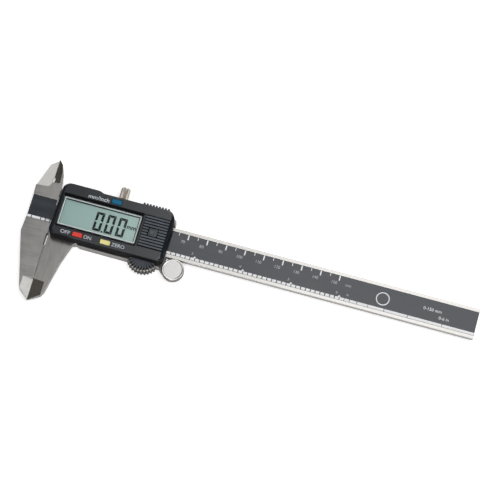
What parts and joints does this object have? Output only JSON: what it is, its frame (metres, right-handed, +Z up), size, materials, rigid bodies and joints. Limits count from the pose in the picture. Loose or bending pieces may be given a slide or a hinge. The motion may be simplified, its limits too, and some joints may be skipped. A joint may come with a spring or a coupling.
{
  "type": "digital caliper",
  "caption": "Digital caliper: steel beam with fixed jaws, sliding jaw with display housing, push buttons, thumb roller, lock screw, depth rod and battery cover.",
  "frame": {"origin": "middle of the bounding box at its lowest level, which is the slider's back face that the caliper lies on", "axes": "+X along the beam from the jaws to its free end, +Y across the beam towards the inside jaws, +Z up out of the display"},
  "size_m": [0.2366, 0.0772, 0.0141],
  "materials": {
    "steel": "brushed stainless steel, bright ground edges and facets",
    "screw_steel": "zinc-bright small screws",
    "roller_nickel": "turned bright nickel, knurled rim",
    "lock_nickel": "warm nickel, knurled",
    "brass": "plain brass",
    "label_black": "dark charcoal printed film",
    "board_green": "glass-epoxy board with solder mask",
    "housing_black": "black moulded plastic, satin",
    "window_clear": "clear flat window",
    "bezel_silver": "thin silver frame",
    "display_grey": "grey-green reflective liquid crystal cell",
    "rubber_grey": "layered conductive rubber",
    "epoxy_black": "black epoxy drop",
    "button_blue": "blue plastic",
    "button_red": "red plastic",
    "button_yellow": "pale yellow plastic"
  },
  "bodies": {
    "beam": {"beam": "steel", "scale_strip": "board_green", "scale_label": "label_black", "end_stop": "steel", "end_stop_screw_1": "screw_steel", "end_stop_screw_2": "screw_steel"},
    "slider": {"slider_frame": "steel", "back_label": "label_black", "gib_strip": "brass", "gib_screw_1": "screw_steel", "gib_screw_2": "screw_steel", "depth_rod": "steel", "rod_screw_1": "screw_steel", "rod_screw_2": "screw_steel", "housing": "housing_black", "housing_screw_1": "screw_steel", "housing_screw_2": "screw_steel", "housing_screw_3": "screw_steel", "housing_screw_4": "screw_steel", "display_window": "window_clear", "display_bezel": "bezel_silver", "display_glass": "display_grey", "contact_rubber_1": "rubber_grey", "contact_rubber_2": "rubber_grey", "circuit_board": "board_green", "chip": "epoxy_black", "key_dome_mm_inch": "steel", "key_dome_on_off": "steel", "key_dome_zero": "steel", "battery": "steel", "contact_minus": "brass", "contact_plus": "brass"},
    "thumb_roller": {"thumb_roller": "roller_nickel", "roller_clip": "screw_steel"},
    "lock_pad": {"lock_pad": "brass"},
    "lock_screw": {"lock_screw": "lock_nickel"},
    "button_mm_inch": {"button_mm_inch": "button_blue"},
    "button_on_off": {"button_on_off": "button_red"},
    "button_zero": {"button_zero": "button_yellow"},
    "battery_cover": {"battery_cover": "housing_black"}
  },
  "joints": [
    {"name": "slider_slide", "type": "slide", "parent": "beam", "child": "slider", "axis": [1, 0, 0], "range_m": [0, 0.15]},
    {"name": "roller_turn", "type": "hinge", "parent": "slider", "child": "thumb_roller", "pos_m": [-0.03766, -0.0036, 0.0055], "axis": [0, 0, 1], "continuous": true},
    {"name": "lock_advance", "type": "slide", "parent": "slider", "child": "lock_pad", "axis": [0, -1, 0], "range_m": [0, 0.00025]},
    {"name": "lock_turn", "type": "hinge", "parent": "lock_pad", "child": "lock_screw", "pos_m": [-0.07286, 0.0262, 0.0035], "axis": [0, -1, 0], "range_deg": [0, 180]},
    {"name": "button_mm_inch_press", "type": "slide", "parent": "slider", "child": "button_mm_inch", "axis": [0, 0, -1], "range_m": [0, 0.0005], "stiffness_N_per_m": 2000},
    {"name": "button_on_off_press", "type": "slide", "parent": "slider", "child": "button_on_off", "axis": [0, 0, -1], "range_m": [0, 0.0005], "stiffness_N_per_m": 2000},
    {"name": "button_zero_press", "type": "slide", "parent": "slider", "child": "button_zero", "axis": [0, 0, -1], "range_m": [0, 0.0005], "stiffness_N_per_m": 2000},
    {"name": "battery_cover_slide", "type": "slide", "parent": "slider", "child": "battery_cover", "axis": [1, 0, 0], "range_m": [0, 0.016]}
  ],
  "couplings": [
    {"joint": "roller_turn", "follows": "slider_slide", "rad_per_m": 173.91},
    {"joint": "lock_turn", "follows": "lock_advance", "rad_per_m": 12566}
  ]
}
